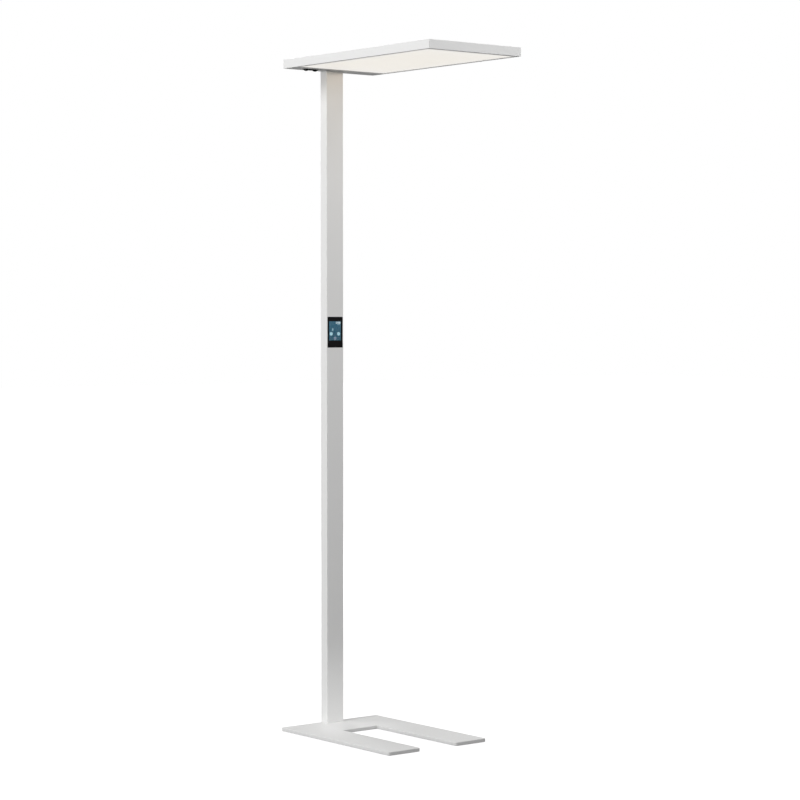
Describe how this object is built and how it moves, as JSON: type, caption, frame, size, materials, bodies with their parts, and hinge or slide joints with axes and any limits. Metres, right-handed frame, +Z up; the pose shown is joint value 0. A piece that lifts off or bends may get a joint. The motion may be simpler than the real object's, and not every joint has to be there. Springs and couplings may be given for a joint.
{
  "type": "office floor lamp",
  "caption": "Free-standing office luminaire: flat rectangular light head on a slim column with a touch display, on a U-shaped floor plate that slides under a desk.",
  "frame": {"origin": "on the floor, under the middle of the head's length and of the lamp's width", "axes": "+Z up; -Y is the front, where the head and the base legs reach forward and the display faces; +X is to the right when the display is looked at along +Y"},
  "size_m": [0.352, 0.666, 1.95],
  "materials": {
    "plate_coat": "fine satin powder coat on steel",
    "column_coat": "fine satin powder coat on extruded aluminium",
    "rail_coat": "fine satin powder coat on extruded aluminium",
    "cover_coat": "fine satin powder coat on aluminium sheet",
    "glide_plastic": "matte",
    "screw_steel": "zinc plated",
    "grommet_rubber": "matte",
    "terminal_plastic": "matte",
    "lead_sheath": "matte",
    "clip_plastic": "matte",
    "display_plastic": "fine matte",
    "board_green": "satin solder mask",
    "display_picture": "lit colour panel",
    "seal_foam": "matte foam",
    "display_glass": "gloss",
    "raw_aluminium": "mill finish",
    "bracket_steel": "zinc plated",
    "light_panel": "fine prismatic, satin",
    "light_guide": "clear, gloss",
    "reflector_white": "matte",
    "board_white": "satin solder mask",
    "window_clear": "satin clear",
    "driver_case": "matte",
    "sensor_black": "matte",
    "lens_black": "satin"
  },
  "bodies": {
    "root": {"base_plate": "plate_coat", "floor_glides": "glide_plastic", "base_screws": "screw_steel", "column_profile": "column_coat", "cable_grommet": "grommet_rubber", "supply_terminal": "terminal_plastic", "supply_lead": "lead_sheath", "data_lead": "lead_sheath", "lead_clips": "clip_plastic", "display_housing": "display_plastic", "display_board": "board_green", "display_panel": "display_picture", "display_seal": "seal_foam", "display_glass": "display_glass", "board_screws": "screw_steel", "housing_screws": "screw_steel", "side_rails": "rail_coat", "front_rail": "rail_coat", "rear_rail": "rail_coat", "corner_keys": "raw_aluminium", "rear_cover": "cover_coat", "head_bracket": "bracket_steel", "head_screws": "screw_steel", "light_panel": "light_panel", "light_guide": "light_guide", "reflector_sheet": "reflector_white", "edge_light_strips": "board_white", "chassis_tray": "raw_aluminium", "tray_screws": "screw_steel", "uplight_boards": "board_white", "top_cover": "cover_coat", "top_window": "window_clear", "cover_screws_top": "screw_steel", "led_driver": "driver_case", "driver_screws": "screw_steel", "sensor_board": "board_green", "sensor_screws": "screw_steel", "sensor_bezel": "sensor_black", "presence_lens": "lens_black", "daylight_lens": "lens_black"}
  },
  "joints": []
}
